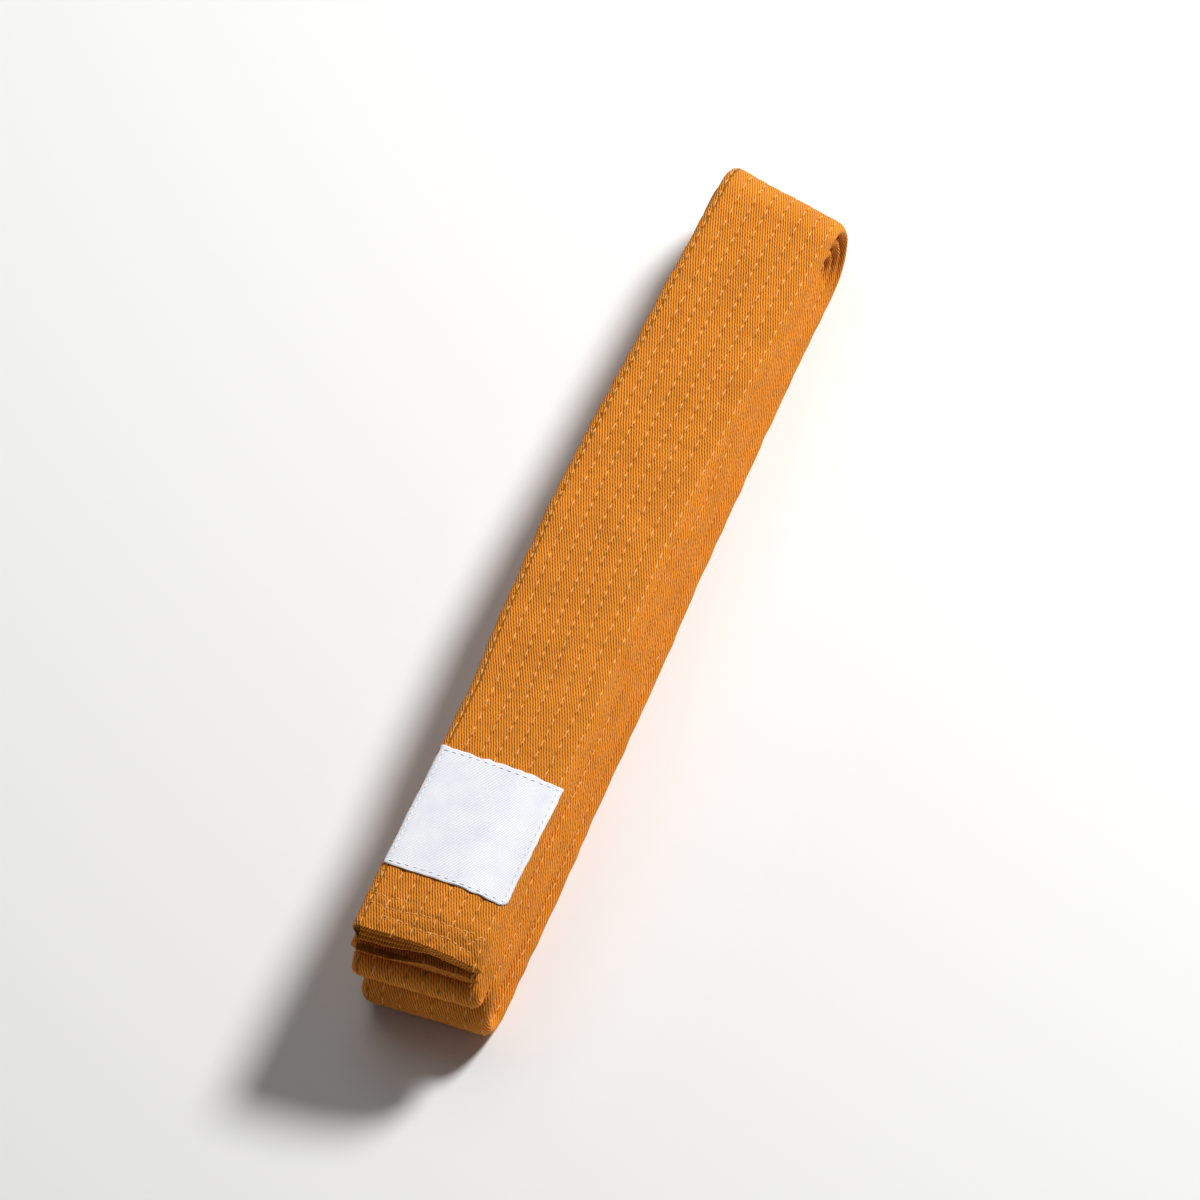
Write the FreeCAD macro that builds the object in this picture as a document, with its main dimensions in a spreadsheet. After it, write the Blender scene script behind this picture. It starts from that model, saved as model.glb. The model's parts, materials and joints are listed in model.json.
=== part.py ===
import FreeCAD, Part
import math
import os

import Sketcher
from FreeCAD import Placement, Rotation, Vector

# A martial arts belt put away folded: a long flat cotton belt halved three times, so that
# it lies as a stack of eight layers. The layers are counted from the top, 1 to 8.
# X runs along the stack (the belt's ends and the near folds at -X, the four nested far
# folds at +X), Y across the belt's width, Z up. The origin is under the stack's middle.
#
# The belt is one strip. From its labelled end A it runs:
#   layer 1, far fold, layer 8, near fold, layer 5, far fold, layer 4, middle fold,
#   layer 3, far fold, layer 6, near fold, layer 7, far fold, layer 2, end B.
# The far folds are round one line, the fold axis. Each layer runs straight from its far
# fold and rises a little towards the near end, where the stack is looser.

os.makedirs("parts", exist_ok=True)
doc = FreeCAD.newDocument("martial_arts_belt")
sheet = doc.addObject("Spreadsheet::Sheet", "Sizes")

UPPER = (1, 2, 3, 4)
LOWER = (5, 6, 7, 8)
ROWS = 8

# Millimetres, and degrees for the lifts.
cells = [
    ("stack_length", "299"),
    ("belt_width", "40"),
    ("belt_thickness", "3.7"),
    ("layer_gap", "0.6"),
    ("cover_wall", "0.6"),
    ("edge_radius", "1.1"),
    ("core_slack", "0.05"),
    ("row_pitch", "5.1"),
    ("thread_width", "0.5"),
    ("thread_height", "0.15"),
    ("hem_depth", "3"),
    ("end_a_setback", "5.3"),
    ("end_b_setback", "2.6"),
    ("wide_fold_reach", "13.3"),
    ("tight_fold_reach", "15.3"),
    ("middle_fold_reach", "5"),
    ("hinge_slit", "0.5"),
    ("fold_slit", "0.2"),
    ("hinge_b_run", "45"),
    ("hinge_a_run", "72"),
    ("hinge_lift", "0.3"),
    ("label_width", "38.8"),
    ("label_length", "44"),
    ("label_thickness", "0.6"),
    ("label_from_end", "21.1"),
    ("label_seam_inset", "1.4"),
    ("label_clearance", "0.02"),
    ("hem_row_first", "5"),
    ("hem_row_pitch", "3.2"),
    ("hem_row_inset", "2.5"),
    ("lift_1", "2.87"),
    ("lift_2", "2.16"),
    ("lift_3", "1.99"),
    ("lift_4", "1.59"),
    ("lift_5", "1.42"),
    ("lift_6", "1.17"),
    ("lift_7", "0.22"),
    ("lift_8", "0"),
    ("half_thickness", "=belt_thickness / 2"),
    ("layer_pitch", "=belt_thickness + layer_gap"),
    ("core_thickness", "=belt_thickness - 2 * cover_wall"),
    ("core_width", "=belt_width - 2 * cover_wall"),
    ("ply_thickness", "=core_thickness / 3 - 2 * core_slack"),
    ("ply_pitch", "=core_thickness / 3"),
    ("ply_width", "=core_width - 2 * core_slack"),
    ("thread_level", "=half_thickness - thread_height / 2"),
    ("axis_z", "=3.5 * layer_pitch + half_thickness"),
    ("axis_x", "=stack_length / 2 - axis_z"),
    ("near_x", "=-stack_length / 2"),
]

# For each layer: the radius of its far fold, the point where its middle plane leaves that
# fold, and the height at which the plane passes over or under the fold axis.
for layer in UPPER + LOWER:
    upper = layer in UPPER
    steps = 4.5 - layer if upper else layer - 4.5
    side = "+" if upper else "-"
    lift = f"lift_{layer} * 1deg"
    cells += [
        (f"radius_{layer}", f"={steps} * layer_pitch"),
        (f"far_x_{layer}", f"=axis_x {side} radius_{layer} * sin({lift})"),
        (f"far_z_{layer}", f"=axis_z {side} radius_{layer} * cos({lift})"),
        (f"level_{layer}", f"=axis_z {side} radius_{layer} / cos({lift})"),
    ]

# A near fold joins two layers at -X. Its circle touches both middle planes, and its middle
# is one reach in from the stack's near end.
near_folds = [
    ("middle", 3, 4, "near_x + middle_fold_reach"),
    ("wide", 5, 8, "near_x + wide_fold_reach"),
    ("tight", 6, 7, "near_x + tight_fold_reach"),
]
for name, top, bottom, centre_x in near_folds:
    up = f"lift_{top} * 1deg"
    down = f"lift_{bottom} * 1deg"
    top_z = f"(level_{top} + (axis_x - {name}_x) * tan({up}))"
    bottom_z = f"(level_{bottom} + (axis_x - {name}_x) * tan({down}))"
    cells += [
        (f"{name}_x", f"={centre_x}"),
        (f"{name}_radius", f"=({top_z} - {bottom_z}) / (1 / cos({up}) + 1 / cos({down}))"),
        (f"{name}_z", f"={bottom_z} + {name}_radius / cos({down})"),
        (f"{name}_turn", f"=180 + lift_{top} - lift_{bottom}"),
        (f"near_x_{top}", f"={name}_x + {name}_radius * sin({up})"),
        (f"near_z_{top}", f"={name}_z + {name}_radius * cos({up})"),
        (f"near_x_{bottom}", f"={name}_x - {name}_radius * sin({down})"),
        (f"run_{top}", f"=(far_x_{top} - near_x_{top}) / cos({up})"),
        (f"run_{bottom}", f"=(far_x_{bottom} - near_x_{bottom}) / cos({down})"),
    ]
far_folds = [("outer", 1, 8), ("second", 2, 7), ("third", 3, 6), ("inner", 4, 5)]
for name, top, bottom in far_folds:
    cells.append((f"{name}_turn", f"=180 + lift_{bottom} - lift_{top}"))
cells += [
    ("run_1", "=(far_x_1 - near_x - end_a_setback) / cos(lift_1 * 1deg)"),
    ("run_2", "=(far_x_2 - near_x - end_b_setback) / cos(lift_2 * 1deg)"),
    ("hinge_level", "=half_thickness + hinge_lift"),
    ("label_start", "=run_1 - label_from_end - label_length"),
    ("label_level", "=half_thickness + label_clearance"),
]

# The hinge lines: the lower half and the upper half turn about the fold axis, and each free
# end bends up about a line just above the top layer, one hinge run from the far fold.
for end in ("b", "a"):
    along = f"hinge_{end}_run"
    cells += [
        (f"hinge_{end}_x", f"=far_x_1 - {along} * cos(lift_1 * 1deg) + hinge_level * sin(lift_1 * 1deg)"),
        (f"hinge_{end}_z", f"=far_z_1 + {along} * sin(lift_1 * 1deg) + hinge_level * cos(lift_1 * 1deg)"),
    ]

for row, (alias, value) in enumerate(cells, start=1):
    sheet.set(f"A{row}", alias)
    sheet.set(f"B{row}", value)
    sheet.setAlias(f"B{row}", alias)
doc.recompute()


def size(alias):
    return float(sheet.get(alias))


# Cross-sections, drawn on the YZ plane with the belt's middle plane at Z = 0. Every run
# and fold of the belt is one of these sections pulled along a layer or turned round a fold.
ACROSS = Placement(Vector(), Rotation(Vector(1, 1, 1), 120))


def section(name):
    sketch = doc.addObject("Sketcher::SketchObject", name)
    sketch.Placement = ACROSS
    return sketch


def bind(sketch, constraint, expression):
    number = sketch.addConstraint(constraint)
    sketch.setExpression(f"Constraints[{number}]", expression)


def rectangle(sketch, width, height, across="0", level="0"):
    """A rectangle whose width, height and middle are expressions."""
    first = sketch.GeometryCount
    corners = [Vector(-1, -1, 0), Vector(1, -1, 0), Vector(1, 1, 0), Vector(-1, 1, 0)]
    for number in range(4):
        line = Part.LineSegment(corners[number], corners[(number + 1) % 4])
        sketch.addGeometry(line, False)
    for number in range(4):
        following = first + (number + 1) % 4
        sketch.addConstraint(Sketcher.Constraint("Coincident", first + number, 2, following, 1))
    for number in (0, 2):
        sketch.addConstraint(Sketcher.Constraint("Horizontal", first + number))
        sketch.addConstraint(Sketcher.Constraint("Vertical", first + number + 1))
    bind(sketch, Sketcher.Constraint("DistanceX", first, 1, first, 2, 2), width)
    bind(sketch, Sketcher.Constraint("DistanceY", first + 1, 1, first + 1, 2, 2), height)
    left = f"({across}) - ({width}) / 2"
    low = f"({level}) - ({height}) / 2"
    bind(sketch, Sketcher.Constraint("DistanceX", -1, 1, first, 1, -1), left)
    bind(sketch, Sketcher.Constraint("DistanceY", -1, 1, first, 1, -1), low)


def rounded_outline(sketch):
    """The belt's outline: a flat strip whose folded and sewn edges are rounded."""
    half_width = size("belt_width") / 2
    half_height = size("half_thickness")
    radius = size("edge_radius")
    first = sketch.GeometryCount
    for turn in range(4):
        flip_y = 1 if turn in (0, 3) else -1
        flip_z = 1 if turn in (0, 1) else -1
        centre = Vector((half_width - radius) * flip_y, (half_height - radius) * flip_z, 0)
        circle = Part.Circle(centre, Vector(0, 0, 1), radius)
        quarter = math.pi / 2
        sketch.addGeometry(Part.ArcOfCircle(circle, turn * quarter, (turn + 1) * quarter), False)
    for turn in range(4):
        here = sketch.Geometry[first + turn]
        there = sketch.Geometry[first + (turn + 1) % 4]
        sketch.addGeometry(Part.LineSegment(here.EndPoint, there.StartPoint), False)
    for turn in range(4):
        line = first + 4 + turn
        sketch.addConstraint(Sketcher.Constraint("Tangent", first + turn, 2, line, 1))
        sketch.addConstraint(Sketcher.Constraint("Tangent", line, 2, first + (turn + 1) % 4, 1))
    for turn in (1, 2, 3):
        sketch.addConstraint(Sketcher.Constraint("Equal", first, first + turn))
    sketch.addConstraint(Sketcher.Constraint("Horizontal", first + 4))
    sketch.addConstraint(Sketcher.Constraint("Vertical", first + 5))
    sketch.addConstraint(Sketcher.Constraint("Symmetric", first, 3, first + 2, 3, -1, 1))
    bind(sketch, Sketcher.Constraint("Radius", first, radius), "Sizes.edge_radius")
    bind(sketch, Sketcher.Constraint("DistanceX", -1, 1, first + 7, 1, half_width), "Sizes.belt_width / 2")
    bind(sketch, Sketcher.Constraint("DistanceY", -1, 1, first + 4, 1, half_height), "Sizes.half_thickness")


cover_section = section("cover_section")
rounded_outline(cover_section)
rectangle(cover_section, "Sizes.core_width", "Sizes.core_thickness")

hem_section = section("hem_section")
rounded_outline(hem_section)

core_section = section("core_section")
for ply in (-1, 0, 1):
    rectangle(core_section, "Sizes.ply_width", "Sizes.ply_thickness", level=f"{ply} * Sizes.ply_pitch")

stitch_section = section("stitch_section")
for side in (-1, 1):
    for row in range(ROWS):
        place = f"({row} - {(ROWS - 1) / 2}) * Sizes.row_pitch"
        level = f"{side} * Sizes.thread_level"
        rectangle(stitch_section, "Sizes.thread_width", "Sizes.thread_height", place, level)
doc.recompute()


def seat(item, layer, x="", z="", along="0"):
    """Lays an item at a point of a layer's middle plane, tilted as the layer is."""
    x = x or f"Sizes.far_x_{layer}"
    z = z or f"Sizes.far_z_{layer}"
    lift = f"Sizes.lift_{layer}"
    item.Placement = Placement(Vector(), Rotation(Vector(0, 1, 0), 1))
    item.setExpression("Placement.Rotation.Angle", lift)
    item.setExpression("Placement.Base.x", f"{x} - ({along}) * cos({lift} * 1deg)")
    item.setExpression("Placement.Base.z", f"{z} + ({along}) * sin({lift} * 1deg)")
    return item


def run(name, profile, layer, start, end):
    """A straight stretch of a layer, from start to end along it, counted from its far fold."""
    item = doc.addObject("Part::Extrusion", name)
    item.Base = profile
    item.DirMode = "Custom"
    item.Dir = Vector(-1, 0, 0)
    item.Solid = True
    item.setExpression("LengthFwd", f"({end}) - ({start})")
    return seat(item, layer, along=start)


def turn(name, profile, radius, angle, way):
    """A fold: the section turned round an axis across the belt, one radius below it."""
    item = doc.addObject("Part::Revolution", name)
    item.Source = profile
    item.Axis = Vector(0, way, 0)
    item.Solid = True
    item.setExpression("Base.z", f"-Sizes.{radius}")
    item.setExpression("Angle", angle)
    return item


def near_fold(name, profile, fold, layer):
    item = turn(name, profile, f"{fold}_radius", f"Sizes.{fold}_turn", -1)
    return seat(item, layer, f"Sizes.near_x_{layer}", f"Sizes.near_z_{layer}")


def far_fold(name, profile, fold, layer):
    item = turn(name, profile, f"radius_{layer}", f"Sizes.{fold}_turn", 1)
    return seat(item, layer)


def join(name, pieces):
    item = doc.addObject("Part::MultiFuse", name)
    item.Shapes = pieces
    return item


nodes = []


def finish(item):
    item.Label = item.Name
    nodes.append(item)
    return item


def grooved(name, blank, stitching):
    """A cover with a groove for each row of its stitching, which lies flush in it."""
    item = doc.addObject("Part::Cut", name)
    item.Base = blank
    item.Tool = stitching
    return item


def stretch(stem, build):
    """One stretch of the belt: its core of three canvas plies, its eight rows of thread on
    each face, and the twill cover round the core, each made by build(name, profile)."""
    finish(build(f"{stem}_core", core_section))
    stitching = finish(build(f"{stem}_stitching", stitch_section))
    finish(grooved(f"{stem}_cover", build(f"{stem}_tube", cover_section), stitching))


def folded(fold, top, bottom):
    """Two layers joined by a near fold, from one far fold round to the other."""

    def build(name, profile):
        upper_run = run(f"{name}_upper", profile, top, "Sizes.fold_slit", f"Sizes.run_{top}")
        lower_run = run(f"{name}_under", profile, bottom, "Sizes.fold_slit", f"Sizes.run_{bottom}")
        bend = near_fold(f"{name}_bend", profile, fold, top)
        return join(name, [upper_run, bend, lower_run])

    return build


# The lower half of the stack: two strips, each two layers joined by a near fold, the tight
# one inside the wide one.
stretch("lower_wide", folded("wide", 5, 8))
stretch("lower_tight", folded("tight", 6, 7))

# The four far folds, one inside the other.
for fold, top, bottom in far_folds:
    stretch(f"far_fold_{fold}", lambda name, profile: far_fold(name, profile, fold, top))

# The upper half: layers 3 and 4, joined by the belt's own middle fold, and the first
# stretch of the two end layers above them.
stretch("middle", folded("middle", 3, 4))
before_b = "Sizes.hinge_b_run - Sizes.hinge_slit"
after_b = "Sizes.hinge_b_run + Sizes.hinge_slit"
before_a = "Sizes.hinge_a_run - Sizes.hinge_slit"
after_a = "Sizes.hinge_a_run + Sizes.hinge_slit"
stretch("end_b_root", lambda name, profile: run(name, profile, 2, "Sizes.fold_slit", before_b))
stretch("end_a_root", lambda name, profile: run(name, profile, 1, "Sizes.fold_slit", before_b))
stretch("end_a_bridge", lambda name, profile: run(name, profile, 1, after_b, before_a))

# The two free ends. Their core and long rows stop short of the hem, where the twill is
# turned in and solid.
for end, layer, start in (("a", 1, after_a), ("b", 2, after_b)):
    stem = f"end_{end}"
    hem_start = f"Sizes.run_{layer} - Sizes.hem_depth"
    finish(run(f"{stem}_core", core_section, layer, start, f"{hem_start} - Sizes.core_slack"))
    stitching = finish(run(f"{stem}_stitching", stitch_section, layer, start, hem_start))
    tube = run(f"{stem}_tube", cover_section, layer, start, hem_start)
    hem = run(f"{stem}_hem", hem_section, layer, hem_start, f"Sizes.run_{layer}")
    finish(grooved(f"{stem}_cover", join(f"{stem}_blank", [tube, hem]), stitching))


def bar(name, layer, along, across, level, length, width, height):
    """A small block on a layer: along it, across it and above its middle plane."""
    item = doc.addObject("Part::Box", name)
    item.setExpression("Length", length)
    item.setExpression("Width", width)
    item.setExpression("Height", height)
    lift = f"Sizes.lift_{layer}"
    item.Placement = Placement(Vector(), Rotation(Vector(0, 1, 0), 1))
    item.setExpression("Placement.Rotation.Angle", lift)
    back = f"(({along}) + ({length}))"
    item.setExpression(
        "Placement.Base.x",
        f"Sizes.far_x_{layer} - {back} * cos({lift} * 1deg) + ({level}) * sin({lift} * 1deg)",
    )
    item.setExpression("Placement.Base.y", f"({across}) - ({width}) / 2")
    item.setExpression(
        "Placement.Base.z",
        f"Sizes.far_z_{layer} + {back} * sin({lift} * 1deg) + ({level}) * cos({lift} * 1deg)",
    )
    return item


# The woven label on the end's upper face, and the four seams that hold it.
finish(
    bar(
        "label",
        1,
        "Sizes.label_start",
        "0",
        "Sizes.label_level",
        "Sizes.label_length",
        "Sizes.label_width",
        "Sizes.label_thickness",
    )
)
inset = "Sizes.label_seam_inset"
thread = "Sizes.thread_width"
seam_level = "Sizes.label_level + Sizes.label_thickness"
seam_length = f"Sizes.label_length - 2 * {inset}"
seam_width = f"Sizes.label_width - 2 * {inset} - 2 * {thread}"
seams = []
for side in (-1, 1):
    place = f"{side} * (Sizes.label_width / 2 - {inset} - {thread} / 2)"
    seam = (f"Sizes.label_start + {inset}", place, seam_level, seam_length, thread, "Sizes.thread_height")
    seams.append(bar(f"label_seam_along_{side + 1}", 1, *seam))
for number, place in enumerate((inset, f"Sizes.label_length - {inset} - {thread}")):
    seam = (f"Sizes.label_start + {place}", "0", seam_level, thread, seam_width, "Sizes.thread_height")
    seams.append(bar(f"label_seam_across_{number}", 1, *seam))
label_stitching = doc.addObject("Part::Compound", "label_stitching")
label_stitching.Links = seams
finish(label_stitching)

# Rows of thread across each end, above the long rows, which close the hem.
for end, layer in (("a", 1), ("b", 2)):
    rows = []
    for number in range(3):
        place = f"Sizes.run_{layer} - Sizes.hem_row_first - {number} * Sizes.hem_row_pitch"
        row = (
            place,
            "0",
            "Sizes.label_level",
            thread,
            "Sizes.belt_width - 2 * Sizes.hem_row_inset",
            "Sizes.thread_height",
        )
        rows.append(bar(f"end_{end}_hem_row_{number}", layer, *row))
    hem_stitching = doc.addObject("Part::Compound", f"end_{end}_hem_stitching")
    hem_stitching.Links = rows
    finish(hem_stitching)

doc.recompute()

for item in doc.Objects:
    if "Invalid" in item.State or "Error" in item.State:
        raise RuntimeError(f"{item.Name} failed: {item.State}")
for node in nodes:
    if node.Shape.isNull() or not node.Shape.isValid():
        raise RuntimeError(f"{node.Name} has no valid shape")
    node.Shape.exportStep(f"parts/{node.Label}.step")
    box = node.Shape.BoundBox
    print(
        f"{node.Label:28s} {len(node.Shape.Solids):3d} solids {node.Shape.Volume:10.1f} mm3"
        f"  x {box.XMin:7.2f} {box.XMax:7.2f}  z {box.ZMin:6.2f} {box.ZMax:6.2f}"
    )
print(len(nodes), "nodes")
for alias in ("axis_x", "axis_z", "hinge_b_x", "hinge_b_z", "hinge_a_x", "hinge_a_z"):
    print(f"{alias} = {size(alias):.4f} mm")
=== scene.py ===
import json
import math
from functools import partial

import bmesh
import bpy
import numpy as np
from mathutils import Matrix, Vector


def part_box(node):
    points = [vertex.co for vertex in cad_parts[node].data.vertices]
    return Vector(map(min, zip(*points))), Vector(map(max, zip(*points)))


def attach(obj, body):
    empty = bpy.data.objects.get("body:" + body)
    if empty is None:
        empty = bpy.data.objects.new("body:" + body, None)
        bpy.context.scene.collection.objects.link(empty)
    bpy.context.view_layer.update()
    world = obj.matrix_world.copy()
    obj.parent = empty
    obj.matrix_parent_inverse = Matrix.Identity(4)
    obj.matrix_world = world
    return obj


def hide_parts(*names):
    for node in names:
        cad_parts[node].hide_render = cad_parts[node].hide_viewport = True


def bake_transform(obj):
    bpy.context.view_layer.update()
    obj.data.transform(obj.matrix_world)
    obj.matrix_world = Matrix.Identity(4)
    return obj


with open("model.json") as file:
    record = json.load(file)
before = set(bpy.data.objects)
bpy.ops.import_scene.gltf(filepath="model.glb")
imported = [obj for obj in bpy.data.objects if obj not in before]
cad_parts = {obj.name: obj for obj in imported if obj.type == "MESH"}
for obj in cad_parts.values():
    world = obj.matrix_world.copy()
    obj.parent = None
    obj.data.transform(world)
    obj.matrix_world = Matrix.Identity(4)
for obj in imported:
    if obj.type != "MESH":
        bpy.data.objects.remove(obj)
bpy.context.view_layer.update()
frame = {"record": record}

# ---------------------------------------------------------------------------------------
# The belt's course. A martial arts belt is one flat strip of quilted cotton, here halved
# three times into eight layers, counted 1 to 8 from the top. Its course is worked out once,
# from end A to end B, and every stretch of cloth below is a part of it.

MM = 0.001
hinges = {joint["name"]: joint for joint in frame["record"]["behaviour"]["joints"]}
fold_axis = np.array(hinges["far_fold_opens"]["pos_m"]) / MM
belt_width = (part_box("end_a_cover")[1][1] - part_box("end_a_cover")[0][1]) / MM
outer_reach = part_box("far_fold_outer_cover")[1][0] / MM - fold_axis[0]
inner_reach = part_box("far_fold_inner_cover")[1][0] / MM - fold_axis[0]
layer_pitch = (outer_reach - inner_reach) / 3
thickness = 2 * inner_reach - layer_pitch

# Degrees that each layer rises towards the near end, as in the CAD model.
LIFT = {1: 2.87, 2: 2.16, 3: 1.99, 4: 1.59, 5: 1.42, 6: 1.17, 7: 0.22, 8: 0.0}
# Counted from the top, the fold axis lies between the fourth layer and the fifth.
AXIS_LAYER = 4.5
FINE_STEP = 0.5
PLAIN_STEP = 1.0


def lift(layer):
    return math.radians(LIFT[layer])


def off_fold(layer):
    """Where a layer's middle leaves its far fold, and the layer's upward normal, in XZ."""
    upper = 1 if layer < AXIS_LAYER else -1
    radius = abs(AXIS_LAYER - layer) * layer_pitch
    normal = np.array([math.sin(lift(layer)), math.cos(lift(layer))])
    return fold_axis[[0, 2]] + upper * radius * normal, normal


def height(layer, x):
    """Height of a layer's middle at a place along the stack."""
    point, _ = off_fold(layer)
    return point[1] + (point[0] - x) * math.tan(lift(layer))


def near_fold(top, bottom, node):
    """Centre and radius of the circle that two layers' middles touch at the near end."""
    near_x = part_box(node)[0][0] / MM
    cos_top = math.cos(lift(top))
    cos_bottom = math.cos(lift(bottom))
    # The radius depends on where the circle stands, so a first guess is bettered a few times.
    radius = 3.0
    for _ in range(6):
        x = near_x + radius + thickness / 2
        radius = (height(top, x) - height(bottom, x)) / (1 / cos_top + 1 / cos_bottom)
    return np.array([x, height(bottom, x) + radius / cos_bottom]), radius


def run_leg(layer, start, end, side, step):
    """Points and face normals along a layer, between two distances from its far fold."""
    point, normal = off_fold(layer)
    toward_near = np.array([-normal[1], normal[0]])
    count = max(2, round(abs(end - start) / step))
    along = np.linspace(start, end, count, endpoint=False)
    return point + along[:, None] * toward_near, np.tile(side * normal, (count, 1))


def turn_leg(centre, radius, start, end, side, step):
    """Points and face normals round a fold. Angles in degrees, from straight up to the far end."""
    count = max(8, round(radius * math.radians(abs(end - start)) / min(step, radius / 8)))
    angle = np.radians(np.linspace(start, end, count, endpoint=False))
    out = np.stack([np.sin(angle), np.cos(angle)], 1)
    return np.asarray(centre) + radius * out, side * out


folds = {
    "wide": near_fold(5, 8, "lower_wide_cover"),
    "tight": near_fold(6, 7, "lower_tight_cover"),
    "middle": near_fold(3, 4, "middle_cover"),
}


def reach(layer, fold):
    """A layer's length from its far fold to where its near fold begins."""
    centre, radius = folds[fold]
    side = 1 if layer in (5, 6, 3) else -1
    touch = centre[0] + side * radius * math.sin(lift(layer))
    return (off_fold(layer)[0][0] - touch) / math.cos(lift(layer))


def end_reach(layer, node):
    """A layer's length from its far fold to the belt's cut end."""
    return (off_fold(layer)[0][0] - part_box(node)[0][0] / MM) / math.cos(lift(layer))


def near_turn(fold, top, bottom, side, upward):
    """The turn round a near fold, between its top layer and its bottom one."""
    centre, radius = folds[fold]
    angles = (-180 + LIFT[bottom], LIFT[top]) if upward else (LIFT[top], -180 + LIFT[bottom])
    return turn_leg(centre, radius, *angles, side, FINE_STEP)


def far_turn(top, bottom, side, upward, step=PLAIN_STEP):
    """The turn round the fold axis, between two layers as far above it as below it."""
    radius = (AXIS_LAYER - top) * layer_pitch
    angles = (180 + LIFT[bottom], LIFT[top]) if upward else (LIFT[top], 180 + LIFT[bottom])
    return turn_leg(fold_axis[[0, 2]], radius, *angles, side, step)


end_a_reach = end_reach(1, "end_a_cover")
end_b_reach = end_reach(2, "end_b_cover")
course = [
    ("layer_1", run_leg(1, end_a_reach, 0, 1, FINE_STEP)),
    ("far_1_8", far_turn(1, 8, 1, False, FINE_STEP)),
    ("layer_8", run_leg(8, 0, reach(8, "wide"), -1, PLAIN_STEP)),
    ("near_8_5", near_turn("wide", 5, 8, 1, True)),
    ("layer_5", run_leg(5, reach(5, "wide"), 0, 1, PLAIN_STEP)),
    ("far_5_4", far_turn(4, 5, -1, True)),
    ("layer_4", run_leg(4, 0, reach(4, "middle"), -1, PLAIN_STEP)),
    ("near_4_3", near_turn("middle", 3, 4, 1, True)),
    ("layer_3", run_leg(3, reach(3, "middle"), 0, 1, PLAIN_STEP)),
    ("far_3_6", far_turn(3, 6, 1, False)),
    ("layer_6", run_leg(6, 0, reach(6, "tight"), -1, PLAIN_STEP)),
    ("near_6_7", near_turn("tight", 6, 7, -1, False)),
    ("layer_7", run_leg(7, reach(7, "tight"), 0, 1, PLAIN_STEP)),
    ("far_7_2", far_turn(2, 7, -1, True)),
    ("layer_2", run_leg(2, 0, end_b_reach, -1, PLAIN_STEP)),
]
middle = np.concatenate([leg[0] for _, leg in course])
facing = np.concatenate([leg[1] for _, leg in course])
steps = np.linalg.norm(np.diff(middle, axis=0), axis=1)
belt_along = np.concatenate([[0], np.cumsum(steps)])
leg_ends = np.cumsum([len(leg[0]) for _, leg in course])
leg_start = {name: belt_along[end - len(leg[0])] for (name, leg), end in zip(course, leg_ends)}
belt_length = belt_along[-1]

# How far the stack's layers lie to the left of its middle line, in mm, by place along the
# belt: (stretch, mm on from its start, mm to the left).
DRIFT = [
    ("layer_1", 0, 0.0),
    ("layer_1", 68, 0.0),
    ("layer_1", 90, -0.3),
    ("layer_1", 112, 1.3),
    ("layer_1", 134, 2.3),
    ("layer_1", 156, 3.1),
    ("layer_1", 200, 2.1),
    ("layer_1", 240, 1.0),
    ("far_1_8", 0, -0.6),
    ("layer_8", 0, 0.6),
    ("layer_8", 60, 1.1),
    ("layer_8", 190, -1.1),
    ("near_8_5", 10, -1.9),
    ("layer_5", 60, -1.4),
    ("far_5_4", 4, 2.9),
    ("layer_4", 100, 0.4),
    ("layer_4", 200, -0.9),
    ("near_4_3", 8, -0.2),
    ("layer_3", 60, 1.2),
    ("layer_3", 150, 0.2),
    ("far_3_6", 10, 1.9),
    ("layer_6", 130, 1.6),
    ("layer_6", 235, 0.4),
    ("near_6_7", 6, 2.2),
    ("layer_7", 45, 0.6),
    ("layer_7", 150, 0.9),
    ("far_7_2", 16, 0.8),
    ("layer_2", 90, 2.3),
    ("layer_2", 200, -0.6),
    ("layer_2", 275, 0.4),
]
drift_at = [leg_start[name] + on for name, on, _ in DRIFT]
drift_by = [left for _, _, left in DRIFT]

# Towards the stack's near end these stretches droop a little, by so many mm at the end.
SAG = {"layer_1": 1.7, "layer_4": 2.1, "near_4_3": 2.1, "layer_3": 2.1, "layer_2": 1.0}
sag_by = np.concatenate([np.full(len(leg[0]), SAG.get(name, 0.0)) for name, leg in course])
SAG_FROM = -133
SAG_RUN = 17


def ease(share):
    """A share from 0 to 1, started and ended gently."""
    return share**2 * (3 - 2 * share)


middle[:, 1] -= sag_by * ease(np.clip((SAG_FROM - middle[:, 0]) / SAG_RUN, 0, 1))

# ---------------------------------------------------------------------------------------
# The cover: one strip of cotton twill folded lengthwise round a canvas core and sewn flat
# with eight rows of lockstitch, which pull it into shallow channels. Each stretch between
# two bending places is a closed mesh of its own, cut from the same course, so they meet.

# Sizes in mm. The rows are numbered from the right, and two of them have longer stitches.
ROWS = 8
row_pitch = 5.1
row_places = (np.arange(ROWS) - (ROWS - 1) / 2) * row_pitch
CHANNEL_DEPTH = 0.16
CHANNEL_WIDTH = 0.8
NEEDLE_DEPTH = 0.22
NEEDLE_WIDTH = 0.32
STITCH = 4.0
LONG_STITCH = 5.0
LONG_ROWS = (1, 6)
NEAR_PUFF = 0.5
CLOTH_NAP = 0.05
EDGE_ROUND = 2.7
EDGE_POINTS = 10
PLY_STEPS = 13
FAR_SKEW = 0.21
FAR_SKEW_FROM = 30
FAR_SKEW_RUN = 115
NEAR_SKEW = 0.04
NEAR_SKEW_FROM = -110
NEAR_SKEW_RUN = 35
RIGHT_HANG = 3.0
TABLE_CLEAR = 0.02


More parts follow.
